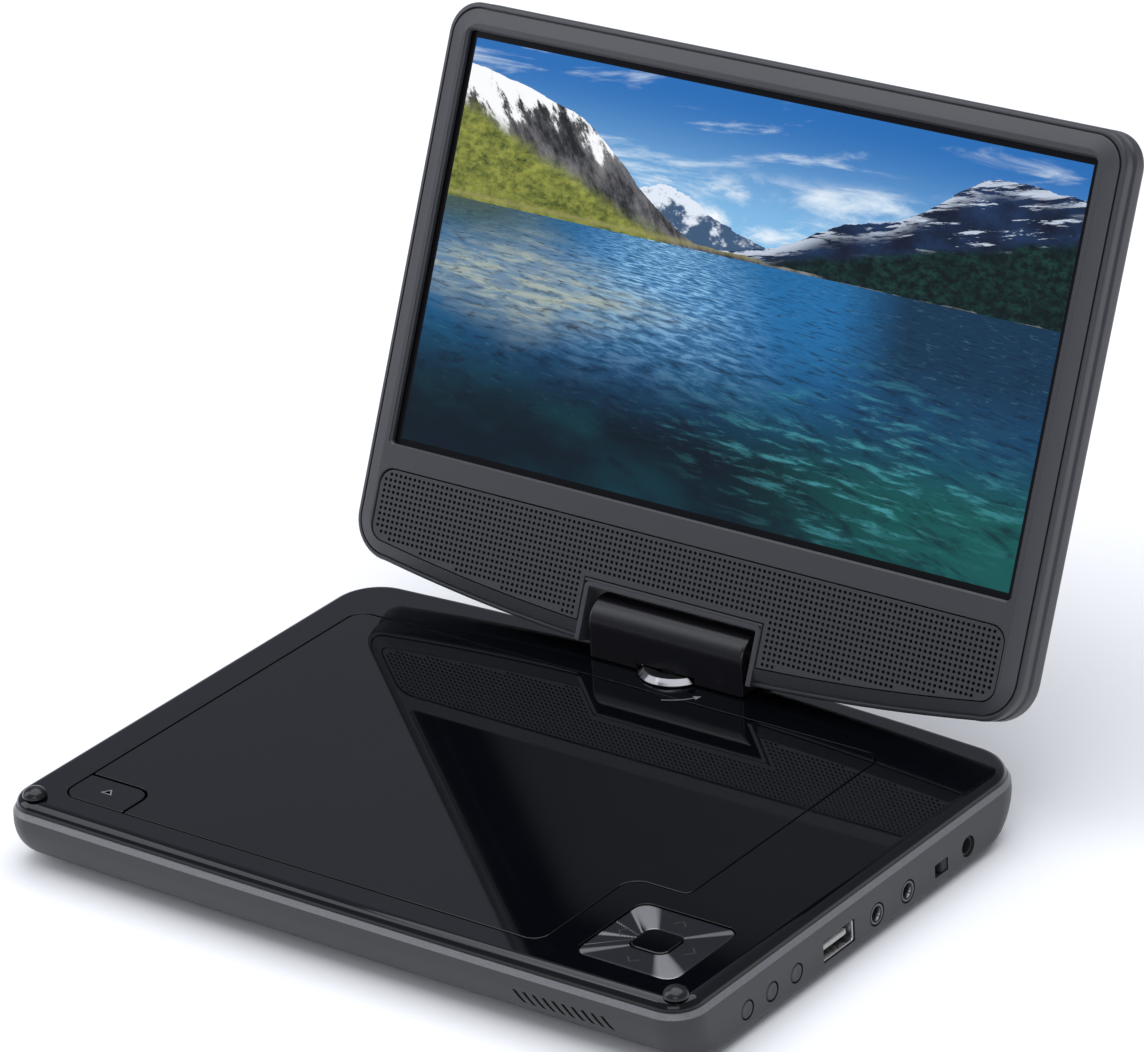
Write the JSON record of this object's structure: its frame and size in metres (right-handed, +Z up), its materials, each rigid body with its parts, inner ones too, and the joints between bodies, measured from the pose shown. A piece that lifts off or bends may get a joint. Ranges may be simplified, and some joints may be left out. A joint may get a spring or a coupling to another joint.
{
  "type": "portable dvd player",
  "caption": "Clamshell portable disc player: a wide screen on a tilting, swivelling hinge over a slim base with a disc door, keypad and side sockets.",
  "frame": {"origin": "on the table, at the middle of the player's bounding box with the screen leaning back 23.9 degrees", "axes": "+X to the user's right, +Y away from the user towards the hinge, +Z up from the table"},
  "size_m": [0.2198, 0.219, 0.1729],
  "materials": {
    "gloss_black": "piano black, polished",
    "satin_black": "fine satin moulding",
    "charcoal_plastic": "satin charcoal with a fine metallic fleck",
    "chrome": "polished",
    "steel": "plain sheet and ground pins",
    "rubber": "moulded",
    "circuit_board": "green solder mask",
    "drive_plastic": "moulded",
    "screen_glass": "flat panel behind clear film",
    "lens_glass": "coated lens in its holder",
    "battery_wrap": "shrink wrap"
  },
  "bodies": {
    "base": {"bottom_shell": "satin_black", "top_cover": "gloss_black", "disc_tray": "drive_plastic", "drive_frame": "steel", "guide_rod_front": "steel", "guide_rod_rear": "steel", "spindle_motor": "steel", "sled_motor": "steel", "main_board": "circuit_board", "battery_pack": "battery_wrap", "usb_port": "steel", "av_jack": "satin_black", "phone_jack": "satin_black", "dc_inlet": "satin_black", "switch_body": "steel", "side_key_board": "circuit_board", "keypad_board": "circuit_board", "deck_bump_left": "rubber", "deck_bump_right": "rubber", "foot_front_left": "rubber", "foot_front_right": "rubber", "foot_rear_left": "rubber", "foot_rear_right": "rubber", "case_screw_front_left": "steel", "case_screw_front_right": "steel", "case_screw_rear_left": "steel", "case_screw_rear_right": "steel", "swivel_bush": "drive_plastic"},
    "door": {"disc_door": "gloss_black", "door_pin_left": "steel", "door_pin_right": "steel"},
    "spindle": {"spindle_hub": "satin_black"},
    "sled": {"laser_sled": "drive_plastic", "objective_lens": "lens_glass"},
    "screw": {"lead_screw": "steel"},
    "open_button": {"open_key": "gloss_black"},
    "latch": {"door_latch": "drive_plastic"},
    "keypad": {"keypad_plate": "satin_black"},
    "ok": {"ok_button": "gloss_black"},
    "side_button_1": {"side_key_1": "satin_black"},
    "side_button_2": {"side_key_2": "satin_black"},
    "side_button_3": {"side_key_3": "satin_black"},
    "power_switch": {"switch_knob": "satin_black"},
    "swivel": {"swivel_disc": "chrome", "hinge_cover": "gloss_black", "hinge_bracket": "steel", "hinge_pin_left": "steel", "hinge_pin_right": "steel", "swivel_washer": "steel"},
    "lid": {"screen_bezel": "charcoal_plastic", "screen_back": "charcoal_plastic", "lcd_panel": "screen_glass", "speaker_grille": "charcoal_plastic", "speaker_left": "satin_black", "speaker_right": "satin_black", "screen_board": "circuit_board"}
  },
  "joints": [
    {"name": "screen_swivel", "type": "hinge", "parent": "base", "child": "swivel", "pos_m": [0.0014, 0.03973, 0.02], "axis": [0, 0, 1], "range_deg": [-180, 0]},
    {"name": "screen_tilt", "type": "hinge", "parent": "swivel", "child": "lid", "pos_m": [0.0014, 0.04173, 0.0296], "axis": [-1, 0, 0], "range_deg": [-113.9, 66.1]},
    {"name": "door_hinge", "type": "hinge", "parent": "base", "child": "door", "pos_m": [0.0014, 0.02078, 0.0184], "axis": [-1, 0, 0], "range_deg": [0, 70]},
    {"name": "spindle_turn", "type": "hinge", "parent": "base", "child": "spindle", "pos_m": [-0.0099, -0.03607, 0.0118], "axis": [0, 0, 1], "continuous": true},
    {"name": "sled_slide", "type": "slide", "parent": "base", "child": "sled", "axis": [-1, 0, 0], "range_m": [0, 0.034]},
    {"name": "lead_screw_turn", "type": "hinge", "parent": "base", "child": "screw", "pos_m": [-0.0339, -0.04647, 0.0074], "axis": [1, 0, 0], "range_deg": [0, 4080]},
    {"name": "open_key_press", "type": "slide", "parent": "base", "child": "open_button", "axis": [0, 0, -1], "range_m": [0, 0.0008], "stiffness_N_per_m": 1500},
    {"name": "latch_slide", "type": "slide", "parent": "base", "child": "latch", "axis": [-1, 0, 0], "range_m": [0, 0.0012]},
    {"name": "keypad_press", "type": "slide", "parent": "base", "child": "keypad", "axis": [0, 0, -1], "range_m": [0, 0.0005], "stiffness_N_per_m": 3000},
    {"name": "ok_press", "type": "slide", "parent": "base", "child": "ok", "axis": [0, 0, -1], "range_m": [0, 0.0006], "stiffness_N_per_m": 3000},
    {"name": "side_key_1_press", "type": "slide", "parent": "base", "child": "side_button_1", "axis": [-1, 0, 0], "range_m": [0, 0.0005], "stiffness_N_per_m": 3000},
    {"name": "side_key_2_press", "type": "slide", "parent": "base", "child": "side_button_2", "axis": [-1, 0, 0], "range_m": [0, 0.0005], "stiffness_N_per_m": 3000},
    {"name": "side_key_3_press", "type": "slide", "parent": "base", "child": "side_button_3", "axis": [-1, 0, 0], "range_m": [0, 0.0005], "stiffness_N_per_m": 3000},
    {"name": "power_switch_slide", "type": "slide", "parent": "base", "child": "power_switch", "axis": [0, -1, 0], "range_m": [0, 0.0026]}
  ],
  "couplings": [
    {"joint": "lead_screw_turn", "follows": "sled_slide", "rad_per_m": 2094.4},
    {"joint": "latch_slide", "follows": "open_key_press", "ratio": 1.5}
  ]
}
